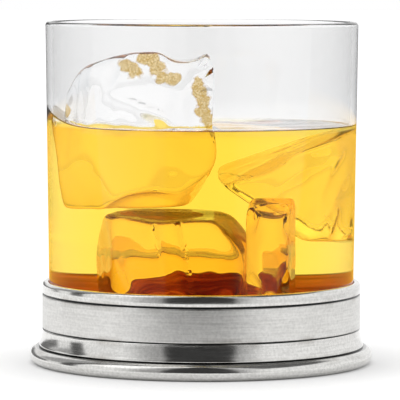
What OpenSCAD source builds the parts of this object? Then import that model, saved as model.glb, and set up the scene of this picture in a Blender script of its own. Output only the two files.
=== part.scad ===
// Double old fashioned glass: a clear tumbler bedded in a turned pewter base,
// poured with a spirit over melting ice. The origin is the centre of the foot,
// on the table, with +Z up and the viewer at -Y.

/* [Tumbler] */
// Height from the table to the rim
overall_height = 91; // [80:0.5:110]
// Outer radius of the rim
rim_r = 41.65; // [36:0.05:46]
// Outer radius of the wall where it reaches the glass's underside
glass_foot_r = 40.45; // [36:0.05:41]
// Thickness of the wall and of the rounded rim
glass_wall = 1.6; // [1:0.1:3]
// Thickness of the glass floor
glass_floor = 6.4; // [3:0.2:14]
// Rounding of the heel outside
heel_round = 2.6; // [1:0.2:5]
// Rounding inside, where the wall meets the floor
well_round = 5; // [2:0.5:12]

/* [Pewter base] */
// Thickness of the collar's wall round the glass
collar_wall = 1.65; // [1.5:0.05:4]
// Rounding of the lip's outer edge
lip_round = 1; // [0.4:0.1:1.2]
// Rounding of the lip's inner edge, against the glass
lip_inner_round = 0.4; // [0.2:0.1:0.5]
// Height of the lip above the upper engraved line
lip_height = 3.2; // [2.4:0.1:4]
// How far the lip swells between that line and its top
lip_bulge = 0.09; // [0.02:0.01:0.3]
// Height of the plain band between the two engraved lines
band_height = 9.2; // [6:0.2:12]
// Height from the fillet up to the lower engraved line
cove_height = 4.4; // [3:0.05:7]
// Width of the cove, from the band out to the fillet
cove_width = 0.9; // [0.5:0.05:1.6]
// Depth of the upper engraved line
upper_line_depth = 0.28; // [0.15:0.01:0.6]
// Depth of the lower engraved line
lower_line_depth = 0.18; // [0.1:0.01:0.5]
// Diameter of the round bead on the foot
bead_d = 4.4; // [3:0.1:5]
// How far the bead stands out past the fillet above it
bead_overhang = 2.45; // [1.5:0.05:3]
// Height of the thin fillet between the cove and the bead
fillet_height = 0.4; // [0.3:0.05:0.8]
// Depth of the cut that parts the fillet from the bead
quirk_depth = 0.5; // [0.2:0.05:0.8]
// Height of that cut at its mouth
quirk_height = 0.2; // [0.1:0.05:0.5]
// Thickness of the base's floor
base_floor = 1.8; // [1.2:0.1:3]
// Depth of the hollow turned in the underside
underside_depth = 1.2; // [0.6:0.1:2]
// Width of the flat ring that stands on the table
standing_width = 2.4; // [1.5:0.1:4]
// Gap between the glass and the lip
glass_clearance = 0.15; // [0.05:0.05:0.4]

/* [Bedding] */
// Thickness of the bedding adhesive under the glass
bedding_thickness = 0.4; // [0.2:0.1:1]
// Height of the adhesive that is squeezed up round the heel
bedding_rise = 6; // [3:0.5:12]
// Inner radius of the bedding ring
bedding_inner_r = 22; // [10:1:32]

/* [Drink] */
// Height of the drink's surface above the table
drink_level = 63.6; // [50:0.2:80]
// Height that the drink climbs at the glass
meniscus = 0.4; // [0.3:0.1:2]

/* [Ice] */
// Crispness of the edges of the two upper blocks
upper_edge = 30; // [12:1:40]
// Crispness of the edges of the three blocks at the bottom, which have melted more
lower_edge = 19; // [8:1:40]
// Room between the outermost block and the wall of the glass
ice_room = 1.2; // [0.5:0.1:4]

/* [Hidden] */
$fn = 96;

// Segments in a rounding of a turned profile, and in the bead
arc_steps = 8;
bead_steps = 16;
// Facets round and up each block of ice
ice_around = 36;
ice_up = 18;

// Heights in the base
socket_floor_z = underside_depth + base_floor;
fillet_z = bead_d + quirk_height;
fillet_top_z = fillet_z + fillet_height;
lower_line_z = fillet_top_z + cove_height;
upper_line_z = lower_line_z + band_height;
collar_height = upper_line_z + lip_height;

// The tumbler stands on its bedding
glass_z = socket_floor_z + bedding_thickness;
well_z = glass_z + glass_floor;
flare = (rim_r - glass_foot_r) / (overall_height - glass_z);
function glass_outer(z) = glass_foot_r + flare * (z - glass_z);
function glass_inner(z) = glass_outer(z) - glass_wall;

// Radii of the base, from the socket outwards. The socket takes the widest part of the glass in it
socket_r = max(glass_outer(glass_z), glass_outer(collar_height)) + glass_clearance;
collar_r = socket_r + collar_wall;
fillet_r = collar_r + cove_width;
foot_r = fillet_r + bead_overhang;
bead_centre_r = foot_r - bead_d / 2;
// Angle up the bead at which the cut begins
bead_turn = 75;
underside_r = bead_centre_r - standing_width;

// Points along an arc, from one angle to another
function arc(centre, r, from, to, steps = arc_steps) =
    [for (i = [0 : steps])
        let (a = from + (to - from) * i / steps)
        centre + r * [cos(a), sin(a)]];

// Outline of the tumbler's outside, from the underside up to a height
function glass_outside(to_z) = concat(
    arc([glass_outer(glass_z + heel_round) - heel_round, glass_z + heel_round], heel_round, -90, 0),
    [[glass_outer(to_z), to_z]]);

// Outline of the well inside, from the floor's centre up to a height
function glass_inside(to_z) = concat(
    [[0, well_z]],
    arc([glass_inner(well_z + well_round) - well_round, well_z + well_round], well_round, -90, 0),
    [[glass_inner(to_z), to_z]]);

function reversed(points) = [for (i = [len(points) - 1 : -1 : 0]) points[i]];

// Engraved line as a round-bottomed cut in the band, listed from its lower edge to its upper
function engraved_line(z, depth) = arc([collar_r, z], depth, 270, 90);

// Hollow cove, one arc from the fillet up to the lower line, where it runs into the band
cove_rise = cove_height - lower_line_depth;
cove_round = (cove_rise * cove_rise + cove_width * cove_width) / (2 * cove_width);
cove_centre = [collar_r + cove_round, fillet_top_z + cove_rise];
cove_start = 180 + asin(cove_rise / cove_round);

// Lip, swelling between the upper line and its rounded top
lip_half = (lip_height - upper_line_depth - lip_round) / 2;
lip_swell_r = (lip_half * lip_half + lip_bulge * lip_bulge) / (2 * lip_bulge);
lip_turn = asin(lip_half / lip_swell_r);
lip_centre = [collar_r + lip_bulge - lip_swell_r, collar_height - lip_round - lip_half];
function between_ends(points) = [for (i = [1 : len(points) - 2]) points[i]];

module pewter_base() color([0.74, 0.73, 0.70]) rotate_extrude() polygon(concat(
    [[0, underside_depth], [underside_r, underside_depth], [underside_r, 0]],
    arc([bead_centre_r, bead_d / 2], bead_d / 2, -90, bead_turn, bead_steps),
    [[fillet_r - quirk_depth, bead_d], [fillet_r, fillet_z], [fillet_r, fillet_top_z]],
    between_ends(arc(cove_centre, cove_round, cove_start, 180)),
    engraved_line(lower_line_z, lower_line_depth),
    engraved_line(upper_line_z, upper_line_depth),
    between_ends(arc(lip_centre, lip_swell_r, -lip_turn, lip_turn)),
    arc([collar_r - lip_round, collar_height - lip_round], lip_round, 0, 90),
    arc([socket_r + lip_inner_round, collar_height - lip_inner_round], lip_inner_round, 90, 180),
    [[socket_r, socket_floor_z], [0, socket_floor_z]]));

// Adhesive pressed out under the glass and up round its heel
bedding_top_z = glass_z + bedding_rise;
module bedding_adhesive() color([0.86, 0.87, 0.86]) rotate_extrude() polygon(concat(
    [[bedding_inner_r, socket_floor_z], [socket_r, socket_floor_z], [socket_r, bedding_top_z]],
    reversed(glass_outside(bedding_top_z)),
    [[bedding_inner_r, glass_z]]));

rim_round = glass_wall / 2;
rim_z = overall_height - rim_round;
module tumbler() color([0.85, 0.91, 0.93, 0.35]) rotate_extrude() polygon(concat(
    [[0, glass_z]],
    glass_outside(rim_z),
    arc([glass_outer(rim_z) - rim_round, rim_z], rim_round, 0, 180),
    reversed(glass_inside(rim_z))));

// The surface curves up to the wall by the meniscus
meniscus_z = drink_level + meniscus;
module poured_drink() rotate_extrude() polygon(concat(
    glass_inside(meniscus_z),
    arc([glass_inner(meniscus_z) - meniscus, meniscus_z], meniscus, 0, -90),
    [[0, drink_level]]));

module drink() color([0.96, 0.68, 0.10, 0.7]) difference() {
    poured_drink();
    ice_upper_left();
    ice_right();
    ice_lower_front();
    ice_lower_right();
    ice_lower_back();
}

// A block of ice is a crystal cut by flat faces and then melted. A face is a heading, a rise and a distance
// from the block's centre, with headings turned from +X. A melted hollow is a heading, a rise, the distance
// of its deepest point and its radius: a round dish, or a groove where the heading and rise of its run
// follow. The block's reach along a direction blends them all, so that its edges are melted round
function way(heading, rise) = [cos(rise) * cos(heading), cos(rise) * sin(heading), sin(rise)];
function face_share(d, face, edge) = pow(max(0, d * way(face[0], face[1]) / face[2]), edge);
function hollow_share(d, hollow, edge) = let (
        run = len(hollow) > 4 ? way(hollow[4], hollow[5]) : [0, 0, 0],
        r = hollow[3],
        middle = way(hollow[0], hollow[1]) * (hollow[2] + r),
        centre = middle - run * (middle * run),
        flat = d - run * (d * run),
        along = flat * centre,
        room = centre * centre - r * r,
        across = along * along - flat * flat * room)
    along > 0 && across > 0 ? pow((along + sqrt(across)) / room, edge) : 0;
function total(values) = values * [for (v = values) 1];
function ice_reach(d, faces, hollows, edge) = pow(
    total([for (f = faces) face_share(d, f, edge)]) + total([for (h = hollows) hollow_share(d, h, edge)]),
    -1 / edge);

// Points of a block placed by its centre above the floor of the well, ring by ring and then below and above
function ice_block(at, faces, hollows, edge) = let (
        rings = [for (j = [1 : ice_up - 1], i = [0 : ice_around - 1])
            way(360 * i / ice_around, 180 * j / ice_up - 90)])
    [for (d = concat(rings, [[0, 0, -1], [0, 0, 1]])) at + d * ice_reach(d, faces, hollows, edge)];

// The large block that stands out of the drink, with a notch in its top and a pillar at its right
upper_left_block = ice_block(
    at = [-16.5, -7, 52.2],
    faces = [[2, 0, 19.4], [178, 4, 19.8], [-90, -1, 17], [90, 0, 16], [90, 87, 20.9], [0, -88, 19.6],
        [-124, 2, 19.8], [-161, 3, 19.5], [180, 33, 21.6], [180, 71, 21.1], [0, 28.6, 26.1], [-92, 25, 22.6],
        [-135, -25, 20.5], [-30, -46, 22], [-155, -50, 25]],
    hollows = [[-96, 46, 23.6, 5], [-68, 42, 24.2, 7], [0, 65.9, 21.3, 8, 90, 0],
        [-59.3, 28.8, 22, 5, 0, -71], [-46, 22, 22.8, 5], [-4, 6, 18.2, 24], [-108, 20, 18.5, 9],
        [-100, 8, 17, 12], [-85, 12, 17, 14], [-120, 26, 21, 8], [85, 10, 15.2, 12], [110, 25, 17, 10],
        [60, 30, 18.5, 9], [-128, -22, 19.5, 18], [-62, -24, 19.5, 14], [-96, -14, 16.4, 40],
        [-70, -62, 19, 20]],
    edge = upper_edge);

// The slanted block behind, whose tip just breaks the surface
right_block = ice_block(
    at = [17, 9, 37.2],
    faces = [[-5, 8, 14], [180, 0, 12.4], [-90, -2, 14.5], [88, -4, 15], [-163, 59, 9.3], [-142, 71, 11.7],
        [0, 88, 17.5], [180, -48, 7.6], [-80, -84, 15], [-55, -37, 19.2], [50, 0, 17.5], [-40, 10, 17.5]],
    hollows = [[-100, -14, 13.8, 22], [-60, 12, 15, 16], [-22, -6, 13.4, 14], [-120, 40, 12, 14],
        [-40, 0, 16.4, 5, 30, 75]],
    edge = upper_edge);

// The wide block at the bottom, with a sliver melted down its front
lower_front_block = ice_block(
    at = [-8, -13, 16.4],
    faces = [[-4, -6, 18], [178, 3, 16], [-90, 0, 14.5], [92, 0, 14.5], [-90, 87, 15.3], [0, -90, 15.8],
        [-10, 34, 19], [-138, -24, 14.4], [-138, 12, 18.4], [-94, 52, 21], [-40, -40, 20], [60, 20, 20],
        [150, 30, 19]],
    hollows = [[-48, 0, 18.4, 16], [-85.3, 19.3, 14.9, 2.6, 148, 76], [-86, -46, 15, 7], [-58, -36, 17, 7],
        [-120, 30, 17.4, 12], [-90, 82, 14.4, 40], [-112, 0, 14.2, 30], [180, 10, 15.2, 26]],
    edge = lower_edge);

// The slim block at the right, with a dished top and a groove between its legs
lower_right_block = ice_block(
    at = [16.3, -17, 16.7],
    faces = [[0, 0, 5.3], [180, 0, 5.3], [-90, 0, 8.5], [90, 0, 8], [-88, 76, 16.8], [0, -90, 16.3],
        [-140, 0, 6.9], [-40, 0, 6.7]],
    hollows = [[-86, 76, 15.4, 6], [-140, 60, 13, 3.2], [-42, 56, 12, 3.2], [-90, -44, 9.5, 5],
        [-40, -20, 6.2, 5], [-134, -24, 6.5, 5], [-92, 8, 7.9, 12], [-100, -40, 8.4, 2.4, 20, 80]],
    edge = lower_edge);

// The small block at the rear
lower_back_block = ice_block(
    at = [0, 24, 10.2],
    faces = [[-4, 4, 11], [176, 0, 11], [-92, 6, 9], [90, 0, 9], [-80, 84, 9], [0, -90, 9.4], [140, 40, 12],
        [-40, 40, 11.5]],
    hollows = [[-90, 25, 9, 14], [-120, 0, 10, 12]],
    edge = lower_edge);

// The blocks are drawn in or out across, so that the outermost keeps its room to the wall
ice_blocks = [upper_left_block, right_block, lower_front_block, lower_right_block, lower_back_block];
ice_laid_r = max([for (block = ice_blocks, p = block) norm([p.x, p.y])]);
ice_fit = (min(glass_inner(well_z + well_round), glass_inner(drink_level)) - ice_room) / ice_laid_r;

module ice(points) {
    below = len(points) - 2;
    above = below + 1;
    last = (ice_up - 2) * ice_around;
    sides = [for (j = [0 : ice_up - 3], i = [0 : ice_around - 1], side = [0, 1])
        let (a = j * ice_around + i, b = j * ice_around + (i + 1) % ice_around)
        side == 0 ? [a, a + ice_around, b] : [b, a + ice_around, b + ice_around]];
    bottom = [for (i = [0 : ice_around - 1]) [below, i, (i + 1) % ice_around]];
    top = [for (i = [0 : ice_around - 1]) [above, last + (i + 1) % ice_around, last + i]];
    polyhedron([for (p = points) [p.x * ice_fit, p.y * ice_fit, p.z + well_z]], concat(sides, bottom, top));
}

ice_colour = [0.93, 0.96, 0.98, 0.5];
module ice_upper_left() color(ice_colour) ice(upper_left_block);
module ice_right() color(ice_colour) ice(right_block);
module ice_lower_front() color(ice_colour) ice(lower_front_block);
module ice_lower_right() color(ice_colour) ice(lower_right_block);
module ice_lower_back() color(ice_colour) ice(lower_back_block);

pewter_base();
bedding_adhesive();
tumbler();
drink();
ice_upper_left();
ice_right();
ice_lower_front();
ice_lower_right();
ice_lower_back();
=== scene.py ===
import math

import bmesh
import bpy
import numpy as np
from mathutils import Matrix, Vector, noise


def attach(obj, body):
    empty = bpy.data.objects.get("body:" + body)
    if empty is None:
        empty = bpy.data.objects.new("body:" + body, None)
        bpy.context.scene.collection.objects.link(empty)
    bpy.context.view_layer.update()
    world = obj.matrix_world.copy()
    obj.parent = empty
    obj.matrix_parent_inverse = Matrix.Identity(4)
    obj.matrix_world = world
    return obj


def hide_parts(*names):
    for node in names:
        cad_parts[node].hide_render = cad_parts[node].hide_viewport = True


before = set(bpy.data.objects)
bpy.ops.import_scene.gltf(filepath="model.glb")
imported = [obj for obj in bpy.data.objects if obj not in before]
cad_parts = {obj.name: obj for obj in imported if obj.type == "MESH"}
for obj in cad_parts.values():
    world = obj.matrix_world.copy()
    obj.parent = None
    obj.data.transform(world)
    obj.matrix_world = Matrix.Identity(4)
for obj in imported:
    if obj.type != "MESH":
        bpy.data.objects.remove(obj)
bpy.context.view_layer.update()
mm = 0.001


def toLinear(hexColour):
    channels = [int(hexColour[i:i + 2], 16) / 255 for i in (1, 3, 5)]
    return [c / 12.92 if c <= 0.04045 else ((c + 0.055) / 1.055) ** 2.4 for c in channels] + [1.0]


# Adds a node, with its settings, its values and its links from other sockets. A Mix node takes its two
# numbers at sockets 2 and 3 and gives them mixed at 0, and its two colours at 6 and 7, mixed at 2
def addNode(tree, kind, inputs=None, **settings):
    node = tree.nodes.new(kind)
    for name, value in settings.items():
        setattr(node, name, value)
    for name, value in (inputs or {}).items():
        if isinstance(value, bpy.types.NodeSocket):
            tree.links.new(value, node.inputs[name])
        else:
            node.inputs[name].default_value = value
    return node


def newMaterial(name):
    material = bpy.data.materials.new(name)
    material.use_nodes = True
    material.node_tree.nodes.clear()
    return material, material.node_tree


def link(name, data):
    piece = bpy.data.objects.new(name, data)
    bpy.context.scene.collection.objects.link(piece)
    return piece


camera = {
    "distance": 900.0,       # from the glass's axis, mm
    "height": 107.86,        # above the table, mm
    "tilt": 4.10,            # degrees down
    "yaw": -0.025,           # degrees to the right
    "roll": 0.15,            # degrees anticlockwise, seen from behind it
    "lens": 303.8,           # mm
    "sensor": 36.0,
    "clip": (0.01, 50.0),    # nearest and furthest that it sees, m
}


def makeCamera():
    data = bpy.data.cameras.new("viewer")
    data.lens = camera["lens"]
    data.sensor_width = camera["sensor"]
    data.clip_start, data.clip_end = camera["clip"]
    view = link("viewer", data)
    view.location = (0, -camera["distance"] * mm, camera["height"] * mm)
    yaw = Matrix.Rotation(math.radians(-camera["yaw"]), 3, "Z")
    tilt = Matrix.Rotation(math.radians(90 - camera["tilt"]), 3, "X")
    roll = Matrix.Rotation(math.radians(camera["roll"]), 3, "Z")
    view.rotation_euler = (yaw @ tilt @ roll).to_euler()
    bpy.context.scene.camera = view
    print("camera set")


# The floor, a sheet of white paper. It glows for the eye, for metal and through glass, so that it looks
# white there without more light on the glass
paper = {
    "half": 6.0,             # half its width, m
    "front": 0.13,           # it ends just in front of the glass, m
    "back": 6.0,
    "white": "#dadada",
    "lift": 0.7,             # its glow
    "farR": (1.3, 1.7),      # through glass, the glow falls off between these distances, m
    "farLift": 0.58,
    "rightX": (0.04, 0.2),   # mirrored, painted shade darkens its glow towards the right between these places, m
    "rightShade": 0.7,
    "shadeReach": 0.03,      # how far from the foot painted shadow darkens the glow, m
    "edgeR": (1.2, 1.35),    # painted reflection: mirrored in the glass's edges, the floor is shown amber, then dark, between these distances, m
    "mirroredAmber": "#edbf45",
    "mirroredDark": "#595959",
}


def makeFloor():
    half, front, back = paper["half"], paper["front"], paper["back"]
    corners = [(-half, -front, 0), (half, -front, 0), (half, back, 0), (-half, back, 0)]
    mesh = bpy.data.meshes.new("floor")
    mesh.from_pydata(corners, [], [(0, 1, 2, 3)])
    floor = link("floor", mesh)
    material, tree = newMaterial("whitePaper")
    path = addNode(tree, "ShaderNodeLightPath")
    eye, glossy, through, sharp = (
        path.outputs["Is " + kind + " Ray"] for kind in ("Camera", "Glossy", "Transmission", "Singular"))
    place = addNode(tree, "ShaderNodeTexCoord").outputs["Object"]
    away = addNode(tree, "ShaderNodeVectorMath", {0: place}, operation="LENGTH").outputs["Value"]
    across = addNode(tree, "ShaderNodeSeparateXYZ", {"Vector": place}).outputs["X"]

    # Rays off metal or glass, and the sharp ones among them, which come off glass alone
    mirrored = addNode(tree, "ShaderNodeMath", {
        0: glossy, 1: through}, operation="SUBTRACT", use_clamp=True)
    offGlass = addNode(tree, "ShaderNodeMath", {0: mirrored.outputs[0], 1: sharp}, operation="MULTIPLY")

    seen = addNode(tree, "ShaderNodeMath", {0: eye, 1: glossy}, operation="MAXIMUM")
    seen = addNode(tree, "ShaderNodeMath", {0: seen.outputs[0], 1: through}, operation="MAXIMUM")
    # Painted shadow: ambient occlusion darkens the floor's glow near the foot
    clear = addNode(tree, "ShaderNodeAmbientOcclusion", {"Distance": paper["shadeReach"]})
    # Painted shade: as metal and glass mirror it, the floor's glow is darkened towards the right
    right = addNode(tree, "ShaderNodeMapRange", {
        "Value": across, "From Min": paper["rightX"][0], "From Max": paper["rightX"][1],
        "To Min": 1.0, "To Max": paper["rightShade"]})
    side = addNode(tree, "ShaderNodeMix", {0: mirrored.outputs[0], 2: 1.0, 3: right.outputs[0]})
    far = addNode(tree, "ShaderNodeMapRange", {
        "Value": away, "From Min": paper["farR"][0], "From Max": paper["farR"][1],
        "To Min": paper["lift"], "To Max": paper["farLift"]})
    lift = addNode(tree, "ShaderNodeMix", {0: through, 2: paper["lift"], 3: far.outputs[0]})
    for share in (seen.outputs[0], clear.outputs["AO"], side.outputs[0]):
        lift = addNode(tree, "ShaderNodeMath", {0: lift.outputs[0], 1: share}, operation="MULTIPLY")

    # Painted reflection: in what glass mirrors, the floor is coloured amber near by and dark further off
    further = addNode(tree, "ShaderNodeMapRange", {
        "Value": away, "From Min": paper["edgeR"][0], "From Max": paper["edgeR"][1]})
    mirroredAmber, mirroredDark = toLinear(paper["mirroredAmber"]), toLinear(paper["mirroredDark"])
    edge = addNode(tree, "ShaderNodeMix", {
        "Factor": further.outputs[0], 6: mirroredAmber, 7: mirroredDark}, data_type="RGBA")
    tone = addNode(tree, "ShaderNodeMix", {
        "Factor": offGlass.outputs[0], 6: toLinear(paper["white"]), 7: edge.outputs[2]}, data_type="RGBA")
    shine = addNode(tree, "ShaderNodeMix", {
        "Factor": offGlass.outputs[0], 6: [1, 1, 1, 1], 7: edge.outputs[2]}, data_type="RGBA")
    sheet = addNode(tree, "ShaderNodeBsdfDiffuse", {"Color": tone.outputs[2]})
    glow = addNode(tree, "ShaderNodeEmission", {"Color": shine.outputs[2], "Strength": lift.outputs[0]})
    both = addNode(tree, "ShaderNodeAddShader", {0: sheet.outputs[0], 1: glow.outputs[0]})
    addNode(tree, "ShaderNodeOutputMaterial", {"Surface": both.outputs[0]})
    mesh.materials.append(material)
    print("floor laid")


# A bright tent hung with cards, each given by its heading, inner and outer half width in degrees, the
# sines of the rise at which it starts and is full, and its brightness. Heading 0 is behind the camera
studio = {
    "tent": 1.0,
    "veil": 0.55,            # how much of a card's darkness still shows through glass
    "cards": [
        (-70, 40, 55, 0.45, 0.65, 1.5),      # softbox, high on the left
        (100, 45, 62, 0.62, 0.72, 0.15),     # dark ceiling on the right
        (-6, 28, 58, -0.2, -0.1, 0.45),      # dim front, where the camera stands
        (-1, 24, 28, -0.2, -0.1, 0.05),
        (-125, 15, 19, 0.12, 0.25, 0.42),    # dark cards on the left
        (-101, 6, 8, -0.05, 0.05, 0.1),
    ],
    "flag": (-148, 20, 26, 0.2, 0.12, 0.2),  # hangs below the rise given first, for reflections alone
    "lens": (0, 9, 14, -0.1, -0.05, 0.02),   # the camera itself, which glass shows as dark as metal does
    "behind": [                              # heading and half widths of the backlight's two sides
        (150, 45, 60),
        (-150, 45, 60),
    ],
    "backlight": [                           # its foot, grey edge and upper part, as glass and ice show it
        (-0.03, 0, 1.15),
        (0.11, 0.12, 0.75),
        (0.14, 0.16, 1.5),
    ],
    "bounces": 40,                           # light goes through many walls of glass, drink and ice
    "glossyBounces": 12,
}


def makeStudio():
    scene = bpy.context.scene
    scene.view_settings.view_transform = "Standard"
    scene.cycles.max_bounces = studio["bounces"]
    scene.cycles.transmission_bounces = studio["bounces"]
    scene.cycles.glossy_bounces = studio["glossyBounces"]
    scene.world = bpy.data.worlds.new("studio")
    scene.world.use_nodes = True
    tree = scene.world.node_tree
    tree.nodes.clear()
    place = addNode(tree, "ShaderNodeTexCoord")
    way = addNode(tree, "ShaderNodeSeparateXYZ", {"Vector": place.outputs["Generated"]})
    forward = addNode(tree, "ShaderNodeMath", {0: way.outputs["Y"], 1: -1.0}, operation="MULTIPLY")
    around = addNode(tree, "ShaderNodeMath", {
        0: way.outputs["X"], 1: forward.outputs[0]}, operation="ARCTAN2")

    # Hangs a card in front of what was there before
    def hang(card, before):
        heading, inner, outer, low, high, brightness = card
        away = addNode(tree, "ShaderNodeMath", {
            0: around.outputs[0], 1: math.radians(heading)}, operation="SUBTRACT")
        away = addNode(tree, "ShaderNodeMath", {0: away.outputs[0]}, operation="ABSOLUTE")
        across = addNode(tree, "ShaderNodeMapRange", {
            "Value": away.outputs[0], "From Min": math.radians(inner), "From Max": math.radians(outer),
            "To Min": 1.0, "To Max": 0.0}, interpolation_type="SMOOTHSTEP")
        upper = addNode(tree, "ShaderNodeMapRange", {
            "Value": way.outputs["Z"], "From Min": low, "From Max": high}, interpolation_type="SMOOTHSTEP")
        share = addNode(tree, "ShaderNodeMath", {
            0: across.outputs[0], 1: upper.outputs[0]}, operation="MULTIPLY")
        return addNode(tree, "ShaderNodeMix", {0: share.outputs[0], 2: before.outputs[0], 3: brightness})

    mirrored = addNode(tree, "ShaderNodeValue")
    mirrored.outputs[0].default_value = studio["tent"]
    for card in studio["cards"]:
        mirrored = hang(card, mirrored)
    through = addNode(tree, "ShaderNodeMix", {
        0: studio["veil"], 2: studio["tent"], 3: mirrored.outputs[0]})
    through = hang(studio["lens"], through)
    for stretch in studio["backlight"]:
        for side in studio["behind"]:
            through = hang(side + stretch, through)
    mirrored = hang(studio["flag"], mirrored)
    path = addNode(tree, "ShaderNodeLightPath")
    seen = addNode(tree, "ShaderNodeMix", {
        0: path.outputs["Is Transmission Ray"], 2: mirrored.outputs[0], 3: through.outputs[0]})
    seen = addNode(tree, "ShaderNodeMix", {0: path.outputs["Is Camera Ray"], 2: seen.outputs[0], 3: 1.0})
    light = addNode(tree, "ShaderNodeBackground", {"Color": [1, 1, 1, 1], "Strength": seen.outputs[0]})
    addNode(tree, "ShaderNodeOutputWorld", {"Surface": light.outputs[0]})
    print("studio lit")


def arc(centre, r, start, end, steps=12):
    angles = [math.radians(start + (end - start) * i / steps) for i in range(steps + 1)]
    return [(centre[0] + r * math.cos(a), centre[1] + r * math.sin(a)) for a in angles]


# Points between two ends of an upright stretch that swells outwards
def bulge(low, high, swell, steps=8):
    half = (high[1] - low[1]) / 2
    r = (half ** 2 + swell ** 2) / (2 * swell)
    swing = math.degrees(math.asin(half / r))
    return arc((low[0] + swell - r, low[1] + half), r, -swing, swing, steps)[1:-1]


# Adds points close to the ends of long stretches and along them, in mm, so that smooth shading stays on
# the roundings
def withSupport(points, near=0.25, longest=4.0):
    full = [points[0]]
    for a, b in zip(points, points[1:]):
        run = math.dist(a, b)
        if run > 3 * near:
            inner = max(1, math.ceil((run - 2 * near) / longest))
            stops = [near] + [near + (run - 2 * near) * i / inner for i in range(1, inner)] + [run - near]
            full += [(a[0] + (b[0] - a[0]) * s / run, a[1] + (b[1] - a[1]) * s / run) for s in stops]
        full.append(b)
    return full


railR = 10 * mm    # of the circle that carries a profile round the axis


# Geometry Nodes tree that turns a profile round the axis, as a lathe does
def latheTree():
    tree = bpy.data.node_groups.new("turnedOnAxis", "GeometryNodeTree")
    tree.interface.new_socket("Geometry", in_out="INPUT", socket_type="NodeSocketGeometry")
    segments = tree.interface.new_socket("Segments", in_out="INPUT", socket_type="NodeSocketInt")
    finish = tree.interface.new_socket("Finish", in_out="INPUT", socket_type="NodeSocketMaterial")
    tree.interface.new_socket("Geometry", in_out="OUTPUT", socket_type="NodeSocketGeometry")
    given = addNode(tree, "NodeGroupInput")
    profile = addNode(tree, "GeometryNodeMeshToCurve", {"Mesh": given.outputs["Geometry"]})
    rail = addNode(tree, "GeometryNodeCurvePrimitiveCircle", {
        "Resolution": given.outputs["Segments"], "Radius": railR})
    turned = addNode(tree, "GeometryNodeCurveToMesh", {
        "Curve": rail.outputs["Curve"], "Profile Curve": profile.outputs["Curve"]})
    closed = addNode(tree, "GeometryNodeMergeByDistance", {
        "Geometry": turned.outputs["Mesh"], "Distance": 0.001 * mm})
    smooth = addNode(tree, "GeometryNodeSetShadeSmooth", {"Geometry": closed.outputs["Geometry"]})
    real = addNode(tree, "GeometryNodeRealizeInstances", {"Geometry": smooth.outputs["Geometry"]})
    dressed = addNode(tree, "GeometryNodeSetMaterial", {
        "Geometry": real.outputs["Geometry"], "Material": given.outputs["Finish"]})
    addNode(tree, "NodeGroupOutput", {"Geometry": dressed.outputs["Geometry"]})
    return tree, segments.identifier, finish.identifier


lathe, segmentsInput, finishInput = latheTree()


def pointOutwards(mesh):
    work = bmesh.new()
    work.from_mesh(mesh)
    bmesh.ops.remove_doubles(work, verts=work.verts, dist=0.0001 * mm)
    bmesh.ops.recalc_face_normals(work, faces=work.faces)
    work.to_mesh(mesh)
    work.free()


# Turns a profile of (radius, height) points in mm into a closed mesh
def turn(name, profile, segments, finish):
    outline = bpy.data.meshes.new(name + "Profile")
    corners = [(r * mm - railR, -z * mm, 0) for r, z in profile]
    outline.from_pydata(corners, [(i, i + 1) for i in range(len(corners) - 1)], [])
    holder = link(name + "Lathe", outline)
    modifier = holder.modifiers.new("lathe", "NODES")
    modifier.node_group = lathe
    modifier[segmentsInput] = segments
    modifier[finishInput] = finish
    depsgraph = bpy.context.evaluated_depsgraph_get()
    mesh = bpy.data.meshes.new_from_object(holder.evaluated_get(depsgraph))
    bpy.data.objects.remove(holder)
    mesh.name = name
    pointOutwards(mesh)
    return link(name, mesh)


# The tumbler, lengths and heights above the table in mm
glass = {
    "height": 91.0,
    "rimR": 41.65,
    "footR": 40.45,
    "wall": 1.6,
    "floor": 6.4,
    "standsAt": 3.4,         # on its bedding
    "heelRound": 2.6,
    "wellRound": 5.0,
    "segments": 256,
    "index": 1.52,
    "slant": 0.12,           # how soon light that crosses a wall at a slant gets painted shade
    "finishes": [            # name, tint, painted shade at a slant and shine
        ("crystalOutside", "#ffffff", "#f0f0f0", 0.4),   # outside, up to the drink's level
        ("crystalDry", "#f9f9f9", "#b4b6b8", 0.6),       # above it
        ("crystalWetted", "#ffffff", "#ffffff", 0.0),    # against the drink
    ],
}

flare = (glass["rimR"] - glass["footR"]) / (glass["height"] - glass["standsAt"])
wellZ = glass["standsAt"] + glass["floor"]


def glassOuter(z):
    return glass["footR"] + flare * (z - glass["standsAt"])


def glassInner(z):
    return glassOuter(z) - glass["wall"]


def wellProfile(upTo, grow=0.0):
    r = glass["wellRound"]
    z = wellZ + r
    heel = arc((glassInner(z) - r, z), r + grow, -90, 0)
    return [(0, wellZ - grow)] + heel + [(glassInner(upTo) + grow, upTo)]


def tumblerProfile():
    heel = glass["heelRound"]
    z = glass["standsAt"] + heel
    half = glass["wall"] / 2
    rimZ = glass["height"] - half
    outside = [(0, glass["standsAt"])] + arc((glassOuter(z) - heel, z), heel, -90, 0)
    rim = arc((glassOuter(rimZ) - half, rimZ), half, 0, 180, steps=16)
    return outside + rim + wellProfile(rimZ)[::-1]


# Crystal: clear lead-free glass, fire-polished. Where light crosses it at a slant it turns greyer, painted
# shade that darkens its edges
def crystalMaterial(name, tint, slantShade, shine):
    material, tree = newMaterial(name)
    slant = addNode(tree, "ShaderNodeLayerWeight", {"Blend": glass["slant"]})
    colour = addNode(tree, "ShaderNodeMix", {
        "Factor": slant.outputs["Facing"], 6: toLinear(tint), 7: toLinear(slantShade)}, data_type="RGBA")
    shader = addNode(tree, "ShaderNodeBsdfPrincipled", {
        "Base Color": colour.outputs[2],
        "Roughness": 0.0,
        "IOR": glass["index"],
        "Transmission Weight": 1.0,
        "Specular Tint": [shine, shine, shine, 1],
    })
    addNode(tree, "ShaderNodeOutputMaterial", {"Surface": shader.outputs[0]})
    return material


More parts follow.
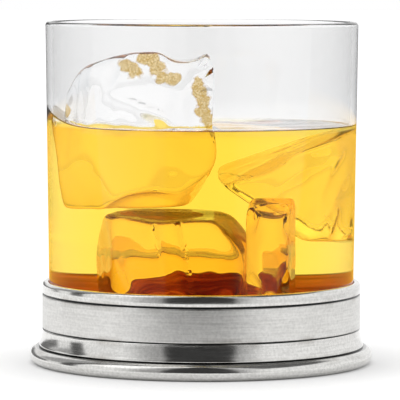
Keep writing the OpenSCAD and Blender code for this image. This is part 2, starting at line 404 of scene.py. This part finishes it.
def makeTumbler():
    outside, dry, wetted = (crystalMaterial(*finish) for finish in glass["finishes"])
    piece = turn("tumblerGlass", withSupport(tumblerProfile()), glass["segments"], outside)
    piece.data.materials.append(dry)
    piece.data.materials.append(wetted)
    for face in piece.data.polygons:
        x, y, z = (c / mm for c in face.center)
        inWell = math.hypot(x, y) < glassInner(z) + glass["wall"] / 2 and z > wellZ - glass["floor"] / 2
        besideDrink = 2 if inWell else 0
        face.material_index = besideDrink if z < wettedTo(x, y) else 1
    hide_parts("tumbler")
    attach(piece, "root")
    print("tumbler blown")


# The turned base, lengths and heights above the table in mm
base = {
    "collarR": 42.502,
    "collarTop": 21.8,
    "lipRound": 1.0,
    "lipInnerRound": 0.4,
    "lipBulge": 0.09,        # how far the lip swells between its line and its top
    "upperLine": 18.6,       # heights of the engraved lines
    "lowerLine": 9.4,
    "upperDepth": 0.28,
    "lowerDepth": 0.18,
    "footR": 45.852,
    "bead": 4.4,
    "beadTurn": 75.0,        # how far up the bead its round goes, degrees
    "filletR": 43.402,
    "filletHeight": 0.4,
    "quirk": 0.5,            # the cut between fillet and bead, its depth and its mouth
    "quirkHeight": 0.2,
    "floorTop": 3.0,
    "underside": 1.2,
    "standing": 2.4,
    "clearance": 0.15,
    "boreStep": 0.8,         # the boring tool left the socket in fine steps
    "boreDepth": 0.085,
    "segments": 256,
    "burnished": 0.1,        # roughness
    "satin": 0.3,            # roughness between the engraved lines
    "satinEdge": 0.05,       # how far the satin fades past a line
    "markLength": 9.1,
    "markGap": 0.5,          # coarser than real turning marks, so that they show
    "markDepth": 0.1,
    "markBump": 0.12,        # strength of their bump
    "markRoughness": 0.08,   # what they add to the roughness
    "grain": 0.714,          # specks of wear, coarser than real ones so that they show
    "worn": (0.75, 1.25),    # marks and grain together, from dull to bright
    "metal": ("#cfcecb", "#e6e5e2"),
    "residueAndShade": "#2b2c2c",    # dark polish in the lines, and painted shade in their hollows
    "residueAndShadeEdge": (0.6, 1.15),      # where it thins out, in half widths of its line
    "stain": "#7d7468",      # brown, in patches beside the lines
    "stainSize": 11.1,
    "stainReach": 1.6,
    "stained": (0.48, 0.68),         # from clean to stained in the patches' noise
    "stainShare": 0.5,
    "socketTones": ("#b87c40", "#ffdca4"),    # inside the socket, brown and tan
    "socketStreaked": (0.35, 0.6),           # from brown to tan in the streaks' noise
    "streakLength": 11.1,
    "streakGap": 1.11,
    "boredRoughness": 0.25,
}

socketR = glassOuter(base["collarTop"]) + base["clearance"]


def baseProfile():
    b = base
    beadR = b["bead"] / 2
    beadCentre = b["footR"] - beadR
    ringInner = beadCentre - b["standing"]
    fillet = b["bead"] + b["quirkHeight"]
    filletTop = fillet + b["filletHeight"]
    coveTop = b["lowerLine"] - b["lowerDepth"]
    coveWidth = b["filletR"] - b["collarR"]
    coveRound = ((coveTop - filletTop) ** 2 + coveWidth ** 2) / (2 * coveWidth)
    coveStart = 180 + math.degrees(math.asin((coveTop - filletTop) / coveRound))
    lipLow = b["upperLine"] + b["upperDepth"]
    lipHigh = b["collarTop"] - b["lipRound"]
    inner = b["lipInnerRound"]
    boreTop = b["collarTop"] - inner
    points = [(0, b["underside"]), (ringInner, b["underside"]), (ringInner, 0)]
    points += arc((beadCentre, beadR), beadR, -90, b["beadTurn"], steps=24)
    points += [(b["filletR"] - b["quirk"], b["bead"]), (b["filletR"], fillet)]
    points += arc((b["collarR"] + coveRound, coveTop), coveRound, coveStart, 180, steps=14)[:-1]
    points += arc((b["collarR"], b["lowerLine"]), b["lowerDepth"], 270, 90, steps=8)
    points += arc((b["collarR"], b["upperLine"]), b["upperDepth"], 270, 90, steps=8)
    points += bulge((b["collarR"], lipLow), (b["collarR"], lipHigh), b["lipBulge"])
    points += arc((b["collarR"] - b["lipRound"], lipHigh), b["lipRound"], 0, 90, steps=10)
    points += arc((socketR + inner, boreTop), inner, 90, 180, steps=8)
    for i in range(int((boreTop - b["floorTop"]) / b["boreStep"])):
        z = boreTop - i * b["boreStep"]
        points += [(socketR + b["boreDepth"], z), (socketR, z - b["boreStep"])]
    return points + [(socketR, b["floorTop"]), (0, b["floorTop"])]


# Pewter: tin alloy, turned on a lathe. The band is satin with fine turning marks, the rest is burnished.
# Dark polish with painted shade darkens the lines and the cut under the cove, and brown stains have stayed
# beside the lines
def pewterMaterial():
    material, tree = newMaterial("turnedPewter")
    place = addNode(tree, "ShaderNodeTexCoord").outputs["Object"]
    height = addNode(tree, "ShaderNodeSeparateXYZ", {"Vector": place}).outputs["Z"]

    # Turning marks run round the axis, with grain over them
    run, gap = 1 / (base["markLength"] * mm), 1 / (base["markGap"] * mm)
    stretched = addNode(tree, "ShaderNodeMapping", {"Vector": place, "Scale": (run, run, gap)})
    marks = addNode(tree, "ShaderNodeTexNoise", {
        "Vector": stretched.outputs[0], "Scale": 1.0, "Detail": 3.0})
    grain = addNode(tree, "ShaderNodeTexNoise", {
        "Vector": place, "Scale": 1 / (base["grain"] * mm), "Detail": 3.0})
    worn = addNode(tree, "ShaderNodeMath", {0: marks.outputs[0], 1: grain.outputs[0]}, operation="ADD")
    worn = addNode(tree, "ShaderNodeMapRange", {
        "Value": worn.outputs[0], "From Min": base["worn"][0], "From Max": base["worn"][1]})
    dull, bright = (toLinear(colour) for colour in base["metal"])
    tone = addNode(tree, "ShaderNodeMix", {
        "Factor": worn.outputs[0], 6: dull, 7: bright}, data_type="RGBA")

    low, high, fade = base["lowerLine"], base["upperLine"], base["satinEdge"]
    above = addNode(tree, "ShaderNodeMapRange", {
        "Value": height, "From Min": (low - fade) * mm, "From Max": (low + fade) * mm})
    below = addNode(tree, "ShaderNodeMapRange", {
        "Value": height, "From Min": (high - fade) * mm, "From Max": (high + fade) * mm,
        "To Min": 1.0, "To Max": 0.0})
    band = addNode(tree, "ShaderNodeMath", {
        0: above.outputs[0], 1: below.outputs[0]}, operation="MULTIPLY")
    rough = addNode(tree, "ShaderNodeMapRange", {
        "Value": band.outputs[0], "To Min": base["burnished"], "To Max": base["satin"]})
    rough = addNode(tree, "ShaderNodeMath", {
        0: marks.outputs[0], 1: base["markRoughness"], 2: rough.outputs[0]}, operation="MULTIPLY_ADD")

    # Height and half width of the engraved lines and of the cut under the cove
    lines = [(high, base["upperDepth"]), (low, base["lowerDepth"]),
             (base["bead"] + base["quirkHeight"] / 2, base["quirkHeight"])]
    polishAndShade, stain = None, None
    for z, half in lines:
        away = addNode(tree, "ShaderNodeMath", {0: height, 1: z * mm}, operation="SUBTRACT")
        away = addNode(tree, "ShaderNodeMath", {0: away.outputs[0]}, operation="ABSOLUTE")
        thick, thin = (half * share * mm for share in base["residueAndShadeEdge"])
        within = addNode(tree, "ShaderNodeMapRange", {
            "Value": away.outputs[0], "From Min": thick, "From Max": thin, "To Min": 1.0, "To Max": 0.0})
        beside = addNode(tree, "ShaderNodeMapRange", {
            "Value": away.outputs[0], "From Min": half * mm, "From Max": (half + base["stainReach"]) * mm,
            "To Min": 1.0, "To Max": 0.0})
        polishAndShade = within if polishAndShade is None else addNode(
            tree, "ShaderNodeMath", {0: polishAndShade.outputs[0], 1: within.outputs[0]}, operation="MAXIMUM")
        stain = beside if stain is None else addNode(
            tree, "ShaderNodeMath", {0: stain.outputs[0], 1: beside.outputs[0]}, operation="MAXIMUM")
    clouds = addNode(tree, "ShaderNodeTexNoise", {
        "Vector": place, "Scale": 1 / (base["stainSize"] * mm), "Detail": 4.0})
    patches = addNode(tree, "ShaderNodeMapRange", {
        "Value": clouds.outputs[0], "From Min": base["stained"][0], "From Max": base["stained"][1],
        "To Max": base["stainShare"]})
    stain = addNode(tree, "ShaderNodeMath", {
        0: stain.outputs[0], 1: patches.outputs[0]}, operation="MULTIPLY")
    tone = addNode(tree, "ShaderNodeMix", {
        "Factor": stain.outputs[0], 6: tone.outputs[2], 7: toLinear(base["stain"])}, data_type="RGBA")
    # Painted shade, with dark polish, darkens the lines and the cut under the cove
    tone = addNode(tree, "ShaderNodeMix", {
        "Factor": polishAndShade.outputs[0], 6: tone.outputs[2], 7: toLinear(base["residueAndShade"])}, data_type="RGBA")
    bump = addNode(tree, "ShaderNodeBump", {
        "Height": marks.outputs[0], "Strength": base["markBump"], "Distance": base["markDepth"] * mm})
    shader = addNode(tree, "ShaderNodeBsdfPrincipled", {
        "Base Color": tone.outputs[2],
        "Metallic": 1.0,
        "Roughness": rough.outputs[0],
        "Normal": bump.outputs[0],
    })
    addNode(tree, "ShaderNodeOutputMaterial", {"Surface": shader.outputs[0]})
    return material


# Socket: the pewter's inside, bored in fine steps and left unpolished, streaked brown and tan
def socketMaterial():
    material, tree = newMaterial("boredPewterInside")
    place = addNode(tree, "ShaderNodeTexCoord").outputs["Object"]
    run, gap = 1 / (base["streakLength"] * mm), 1 / (base["streakGap"] * mm)
    stretched = addNode(tree, "ShaderNodeMapping", {"Vector": place, "Scale": (run, run, gap)})
    streaks = addNode(tree, "ShaderNodeTexNoise", {
        "Vector": stretched.outputs[0], "Scale": 1.0, "Detail": 4.0})
    streaks = addNode(tree, "ShaderNodeMapRange", {
        "Value": streaks.outputs[0], "From Min": base["socketStreaked"][0], "From Max": base["socketStreaked"][1]})
    brown, tan = (toLinear(colour) for colour in base["socketTones"])
    colour = addNode(tree, "ShaderNodeMix", {
        "Factor": streaks.outputs[0], 6: brown, 7: tan}, data_type="RGBA")
    shader = addNode(tree, "ShaderNodeBsdfPrincipled", {
        "Base Color": colour.outputs[2],
        "Metallic": 1.0,
        "Roughness": base["boredRoughness"],
    })
    addNode(tree, "ShaderNodeOutputMaterial", {"Surface": shader.outputs[0]})
    return material


def makeBase():
    profile = withSupport(baseProfile(), near=0.3, longest=3.0)
    piece = turn("pewterTurnedBase", profile, base["segments"], pewterMaterial())
    piece.data.materials.append(socketMaterial())
    floorMiddle = (base["underside"] + base["floorTop"]) / 2
    for face in piece.data.polygons:
        x, y, z = (c / mm for c in face.center)
        inSocket = math.hypot(x, y) < socketR + base["boreDepth"] and z > floorMiddle
        face.material_index = 1 if inSocket else 0
        face.use_smooth = not inSocket
    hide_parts("pewter_base")
    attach(piece, "root")
    print("base turned")


bedding = {
    "tones": ("#bec1be", "#d4d5d2"),
    "cloud": 4.0,            # size of its milky clouds, mm
    "roughness": 0.4,
}


# Bedding: poured silicone, milky in clouds, hidden between glass and pewter
def beddingMaterial():
    material, tree = newMaterial("beddingSilicone")
    place = addNode(tree, "ShaderNodeTexCoord").outputs["Object"]
    clouds = addNode(tree, "ShaderNodeTexNoise", {
        "Vector": place, "Scale": 1 / (bedding["cloud"] * mm), "Detail": 3.0})
    dull, milky = (toLinear(colour) for colour in bedding["tones"])
    colour = addNode(tree, "ShaderNodeMix", {
        "Factor": clouds.outputs[0], 6: dull, 7: milky}, data_type="RGBA")
    shader = addNode(tree, "ShaderNodeBsdfPrincipled", {
        "Base Color": colour.outputs[2], "Roughness": bedding["roughness"]})
    addNode(tree, "ShaderNodeOutputMaterial", {"Surface": shader.outputs[0]})
    return material


def dressBedding():
    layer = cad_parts["bedding_adhesive"].data
    layer.materials.clear()
    layer.materials.append(beddingMaterial())
    print("bedding dressed")


# Each block of ice: its centre in mm, its flat faces as heading, rise and distance, and its melted
# hollows as heading, rise, distance to the deepest point and radius. A hollow is a round dish, or a
# groove where the heading and rise of its run follow. Headings turn from +X, lengths are in mm, and a
# higher edge is crisper
ice = {
    "ripples": [(0.3, 9.0), (0.1, 3.2)],     # height and size of the melt ripples, mm
    "rippleSeed": 7.3,       # times a block's centre, so that no two blocks ripple alike
    "detail": 6,             # subdivisions of the sphere that a block is drawn from
    "slant": 0.4,            # how soon light that crosses a face at a slant gets painted shade
    # slantShade is painted shade on the edges: grey above the surface, dark amber below it
    "dry": {"index": 1.31, "tint": "#ffffff", "slantShade": "#ccd2d8", "shine": 1.0},
    # Under the surface the index is higher than ice has, so that the blocks show clearly in the drink
    "wetted": {"index": 1.54, "tint": "#ffe080", "slantShade": "#b44e08", "shine": 0.0},
    "goldPatches": [            # painted reflection of the drink: flecked gold lies above the surface round these places, x and z in mm
        (-19.6, 79.9), (-17.3, 78.4), (-14.9, 82), (-12.6, 81.5), (-11.3, 79.4), (-9.7, 77.4),
        (-7.9, 76.8), (-1.2, 75.3), (-0.1, 73.2), (0.7, 70.6), (0.9, 68), (1.7, 66.2), (-36, 68)],
    "goldPatchReach": 4.4,
    "goldPatchBack": -9.0,      # it lies only this far back, mm
    "ragged": 3.85,          # size of the ragged edge of its film, mm
    "paintedGoldEdge": (1.0, 1.12),         # from bare to covered, in nearness and raggedness together
    "paintedGold": ("#e8c880", "#a8741c"),  # thin and thick
    "fleck": 0.455,          # size of the thick flecks, mm
    "flecked": (0.25, 0.6),          # from thin to thick in the flecks' noise
    "blocks": {
        "ice_upper_left": {
            "at": (-16.5, -7, 62),
            "edge": 30,
            "faces": [
                (2, 0, 19.4), (178, 4, 19.8), (-90, -1, 17), (90, 0, 16), (90, 87, 20.9), (0, -88, 19.6),
                (-124, 2, 19.8), (-161, 3, 19.5), (180, 33, 21.6), (180, 71, 21.1), (0, 28.6, 26.1),
                (-92, 25, 22.6), (-135, -25, 20.5), (-30, -46, 22), (-155, -50, 25), (2, -25, 21),
                (114, 70, 21.8), (155, -12, 17)],
            "hollows": [
                (-96, 46, 23.6, 5), (-68, 42, 24.2, 7), (0, 65.9, 21.3, 8, 90, 0),
                (-59.3, 28.8, 22.4, 8, 0, -71), (-46, 22, 23.4, 7), (-4, 6, 18.2, 24),
                (-112, 10, 18.4, 5, 20, 84), (-140, 10, 19.4, 4, 0, 86), (-122, 8, 19.3, 2.5, 30, 80),
                (-152, 12, 19.2, 3, 0, 84), (-60, 12, 19.5, 4, 0, 80), (-94, -2, 15.9, 40),
                (-124, 0, 19, 40), (-150, 0, 18.8, 40), (-66, -2, 17.6, 40), (88, 2, 15, 40),
                (118, 2, 16.8, 16), (60, 2, 17.4, 20), (-97, 24, 18.4, 2.2, 0, -22),
                (-118, 30, 21.4, 2.5, 40, 60), (-128, -22, 19.5, 18), (-62, -24, 19.5, 14),
                (-70, -62, 19, 20)],
        },
        "ice_right": {
            "at": (17, 9, 47),
            "edge": 30,
            "faces": [
                (-5, 8, 14), (180, 0, 14.4), (-90, -2, 14.5), (88, -4, 15), (-163, 59, 9.3),
                (-142, 71, 11.7), (0, 88, 16), (180, -48, 7.6), (-80, -84, 15), (-55, -37, 19.2),
                (50, 0, 17.5), (-40, 10, 17.5)],
            "hollows": [
                (-100, -14, 13.8, 22), (-60, 12, 15, 16), (-22, -6, 13.4, 14), (-120, 40, 12, 14),
                (-40, 0, 16.4, 5, 30, 75), (-30, 20, 14.4, 3, 60, 50), (-48, 16, 15.3, 4, 20, 30),
                (-24, -16, 14, 4, 50, 70), (-70, -4, 13.8, 5, 15, 62)],
        },
        "ice_lower_front": {
            "at": (-8, -13, 26.2),
            "edge": 15,
            "faces": [
                (-4, -6, 18), (180, -4, 13.2), (-90, 0, 14.5), (92, 0, 14.5), (-90, 87, 15.3),
                (0, -90, 15.8), (-10, 34, 19), (-138, -24, 14.4), (-138, 12, 18.4), (-94, 52, 21),
                (-40, -40, 20), (60, 20, 20), (150, 30, 19)],
            "hollows": [
                (-48, 0, 18.4, 16), (-85.3, 19.3, 14.1, 3.2, 148, 76), (-86, -52, 15.8, 7),
                (-58, -36, 17, 7), (-120, 30, 17.4, 12), (-90, 82, 14.4, 40), (-112, 0, 14.2, 30),
                (180, 10, 15.2, 26)],
        },
        "ice_lower_right": {
            "at": (16.3, -17, 26.5),
            "edge": 11,
            "faces": [
                (0, 0, 4.2), (180, 0, 6.4), (-90, 0, 8.5), (90, 0, 8), (-88, 76, 16.8), (0, -90, 16.3),
                (-140, 0, 6.9), (-40, 0, 6.7)],
            "hollows": [
                (-86, 76, 15.4, 6), (-140, 60, 13, 3.2), (-42, 56, 12, 3.2), (-90, -44, 9.5, 5),
                (-40, -20, 6.2, 5), (-134, -24, 6.5, 5), (-92, 8, 7.9, 12)],
        },
        "ice_lower_back": {
            "at": (0, 24, 20),
            "edge": 19,
            "faces": [
                (-4, 4, 11), (176, 0, 11), (-92, 6, 9), (90, 0, 9), (-80, 84, 9), (0, -90, 9.4),
                (-40, 40, 11.5)],
            "hollows": [(-90, 25, 9, 14), (-120, 0, 10, 12)],
        },
    },
}


# Ice: clear, melted smooth, and tinted amber under the surface. Where light crosses a face at a slant it
# gets painted shade, grey in air and dark amber under the surface, which outlines its edges. Above the
# surface, patches of flecked gold are painted on, a painted reflection of the drink seen through the ice
def iceMaterial(name, look, goldPatches=()):
    material, tree = newMaterial(name)
    slant = addNode(tree, "ShaderNodeLayerWeight", {"Blend": ice["slant"]})
    tint, slantShade = toLinear(look["tint"]), toLinear(look["slantShade"])
    colour = addNode(tree, "ShaderNodeMix", {
        "Factor": slant.outputs["Facing"], 6: tint, 7: slantShade}, data_type="RGBA")
    # Painted reflection: flecked gold patches on the ice above the surface stand in for the drink seen
    # through it
    if goldPatches:
        place = addNode(tree, "ShaderNodeTexCoord").outputs["Object"]
        upright = addNode(tree, "ShaderNodeVectorMath", {0: place, 1: (1, 0, 1)}, operation="MULTIPLY")
        nearest = None
        for x, z in goldPatches:
            away = addNode(tree, "ShaderNodeVectorMath", {
                0: upright.outputs["Vector"], 1: (x * mm, 0, z * mm)}, operation="DISTANCE")
            near = addNode(tree, "ShaderNodeMapRange", {
                "Value": away.outputs["Value"], "From Max": ice["goldPatchReach"] * mm,
                "To Min": 1.0, "To Max": 0.0})
            nearest = near if nearest is None else addNode(
                tree, "ShaderNodeMath", {0: nearest.outputs[0], 1: near.outputs[0]}, operation="MAXIMUM")
        edges = addNode(tree, "ShaderNodeTexNoise", {
            "Vector": place, "Scale": 1 / (ice["ragged"] * mm), "Detail": 2.0})
        paintedGold = addNode(tree, "ShaderNodeMath", {
            0: nearest.outputs[0], 1: edges.outputs[0]}, operation="ADD")
        paintedGold = addNode(tree, "ShaderNodeMapRange", {
            "Value": paintedGold.outputs[0], "From Min": ice["paintedGoldEdge"][0], "From Max": ice["paintedGoldEdge"][1]})
        depth = addNode(tree, "ShaderNodeSeparateXYZ", {"Vector": place}).outputs["Y"]
        front = addNode(tree, "ShaderNodeMath", {
            0: depth, 1: ice["goldPatchBack"] * mm}, operation="LESS_THAN")
        paintedGold = addNode(tree, "ShaderNodeMath", {
            0: paintedGold.outputs[0], 1: front.outputs[0]}, operation="MULTIPLY")
        flecks = addNode(tree, "ShaderNodeTexNoise", {
            "Vector": place, "Scale": 1 / (ice["fleck"] * mm), "Detail": 3.0})
        flecks = addNode(tree, "ShaderNodeMapRange", {
            "Value": flecks.outputs[0], "From Min": ice["flecked"][0], "From Max": ice["flecked"][1]})
        thin, thick = (toLinear(gold) for gold in ice["paintedGold"])
        goldTone = addNode(tree, "ShaderNodeMix", {
            "Factor": flecks.outputs[0], 6: thin, 7: thick}, data_type="RGBA")
        colour = addNode(tree, "ShaderNodeMix", {
            "Factor": paintedGold.outputs[0], 6: colour.outputs[2], 7: goldTone.outputs[2]}, data_type="RGBA")
    shader = addNode(tree, "ShaderNodeBsdfPrincipled", {
        "Base Color": colour.outputs[2],
        "Roughness": 0.0,
        "IOR": look["index"],
        "Transmission Weight": 1.0,
        "Specular Tint": [look["shine"]] * 3 + [1],
    })
    addNode(tree, "ShaderNodeOutputMaterial", {"Surface": shader.outputs[0]})
    return material


def towards(heading, rise):
    h, r = math.radians(heading), math.radians(rise)
    return np.array((math.cos(h) * math.cos(r), math.sin(h) * math.cos(r), math.sin(r)))


# A round mesh whose points are drawn in to the nearest of a block's faces and hollows. Powers of the
# nearness are added up, so that edges come out rounded, and melt ripples follow
def iceMesh(name, block, shrink=0.0):
    edge = block["edge"]
    work = bmesh.new()
    bmesh.ops.create_icosphere(work, subdivisions=ice["detail"], radius=1)
    ways = np.array([v.co for v in work.verts])
    ways /= np.linalg.norm(ways, axis=1)[:, None]
    nearness = np.zeros(len(ways))
    for heading, rise, distance in block["faces"]:
        nearness += np.maximum(0, ways @ towards(heading, rise) / distance) ** edge
    for heading, rise, near, r, *run in block["hollows"]:
        axis = towards(*run) if run else np.zeros(3)
        centre = towards(heading, rise) * (near + r)
        centre -= axis * (centre @ axis)
        flat = ways - np.outer(ways @ axis, axis)
        along = flat @ centre
        outside = centre @ centre - r ** 2
        across = along ** 2 - (flat ** 2).sum(axis=1) * outside
        meets = (along > 0) & (across > 0)
        nearness[meets] += ((along[meets] + np.sqrt(across[meets])) / outside) ** edge
    reach = nearness ** (-1 / edge)
    seed = Vector(block["at"]) * ice["rippleSeed"]
    spots = [Vector(w * r) for w, r in zip(ways, reach)]
    for height, size in ice["ripples"]:
        reach += height * np.array([noise.noise(spot / size + seed) for spot in spots])
    places = ways * (reach - shrink)[:, None] + np.array(block["at"])
    for vert, place in zip(work.verts, places):
        vert.co = place * mm
    for face in work.faces:
        face.smooth = True
    mesh = bpy.data.meshes.new(name)
    work.to_mesh(mesh)
    work.free()
    return mesh


def makeIce():
    dry = iceMaterial("iceDry", ice["dry"], ice["goldPatches"])
    wetted = iceMaterial("iceWetted", ice["wetted"])
    for name, block in ice["blocks"].items():
        mesh = iceMesh(name + "Block", block)
        mesh.materials.append(dry)
        mesh.materials.append(wetted)
        for face in mesh.polygons:
            face.material_index = 1 if face.center.z < pour["level"] * mm else 0
        piece = link(name + "Block", mesh)
        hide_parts(name)
        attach(piece, "root")
    print("ice blocks", len(ice["blocks"]))


# The drink, lengths and heights above the table in mm
pour = {
    "level": 63.6,
    "meniscus": 0.4,
    "overlap": 0.12,         # it reaches this far into glass and ice, so no air film shows
    "rings": (0.9, 0.8, 0.65, 0.5, 0.35, 0.2, 0),    # of its surface, as shares of its radius
    "climb": 4.8,            # how far it climbs the wall
    "climbReach": 6.0,       # and how far from the wall that shows
    "climbFade": 8.0,        # and how far below the surface
    "climbAt": 180.0,        # heading from +X and spread, degrees
    "climbSpread": 24.0,
    "wave": 0.3,             # height and size of the waves on its surface
    "waveSize": 11.0,
    "calm": 6.0,             # no waves reach the wall within this
    "skin": 1.0,             # only what lies this close to the surface waves
    "segments": 192,
    "sharp": 35.0,           # edges of the cuts that turn further than this stay sharp, degrees
    "index": 1.36,
    "colour": "#fff37c",     # what it lets through
    "density": 45.0,         # per metre
}


# Spirit: amber, clear, darker the further light goes through it
def spiritMaterial():
    material, tree = newMaterial("amberSpirit")
    shader = addNode(tree, "ShaderNodeBsdfPrincipled", {
        "Base Color": [1, 1, 1, 1],
        "Roughness": 0.0,
        "IOR": pour["index"],
        "Transmission Weight": 1.0,
        "Specular Tint": [0, 0, 0, 1],
    })
    volume = addNode(tree, "ShaderNodeVolumeAbsorption", {
        "Color": toLinear(pour["colour"]), "Density": pour["density"]})
    addNode(tree, "ShaderNodeOutputMaterial", {"Surface": shader.outputs[0], "Volume": volume.outputs[0]})
    return material


# How far the drink climbs the wall at a place, mm
def climbAt(x, y):
    away = abs((math.degrees(math.atan2(y, x)) - pour["climbAt"] + 180) % 360 - 180)
    return pour["climb"] * math.exp(-(away / pour["climbSpread"]) ** 2)


# How high the drink wets the wall at a place, mm
def wettedTo(x, y):
    return pour["level"] + pour["meniscus"] + climbAt(x, y)


def makeDrink():
    finish = spiritMaterial()
    level, curve = pour["level"], pour["meniscus"]
    top = level + curve
    wall = glassInner(top)
    profile = wellProfile(top, pour["overlap"])
    profile += arc((wall - curve, top), curve, 0, -90)
    profile += [(wall * share, level) for share in pour["rings"]]
    piece = turn("drinkPour", withSupport(profile), pour["segments"], finish)
    for vert in piece.data.vertices:
        x, y, z = (c / mm for c in vert.co)
        fromWall = max(0, wall - math.hypot(x, y))
        upper = min(1, max(0, (z - level + pour["climbFade"]) / pour["climbFade"]))
        vert.co.z += climbAt(x, y) * upper * math.exp(-fromWall / pour["climbReach"]) * mm
        if z > level - pour["skin"]:
            wave = pour["wave"] * noise.noise(Vector((x, y, 0)) / pour["waveSize"])
            vert.co.z += wave * min(1, fromWall / pour["calm"]) * mm
    cutters = []
    for name, block in ice["blocks"].items():
        cutter = link(name + "Cutter", iceMesh(name + "Cutter", block, pour["overlap"]))
        cut = piece.modifiers.new(name, "BOOLEAN")
        cut.operation = "DIFFERENCE"
        cut.solver = "MANIFOLD"
        cut.object = cutter
        cutters.append(cutter)
    depsgraph = bpy.context.evaluated_depsgraph_get()
    mesh = bpy.data.meshes.new_from_object(piece.evaluated_get(depsgraph))
    piece.modifiers.clear()
    piece.data = mesh
    mesh.name = "drinkPour"
    mesh.materials.clear()
    mesh.materials.append(finish)
    for face in mesh.polygons:
        face.material_index = 0
    mesh.set_sharp_from_angle(angle=math.radians(pour["sharp"]))
    for cutter in cutters:
        bpy.data.objects.remove(cutter)
    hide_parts("drink")
    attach(piece, "root")
    print("drink poured", len(mesh.polygons), "faces")


makeCamera()
makeFloor()
makeStudio()
makeBase()
makeTumbler()
makeIce()
makeDrink()
dressBedding()
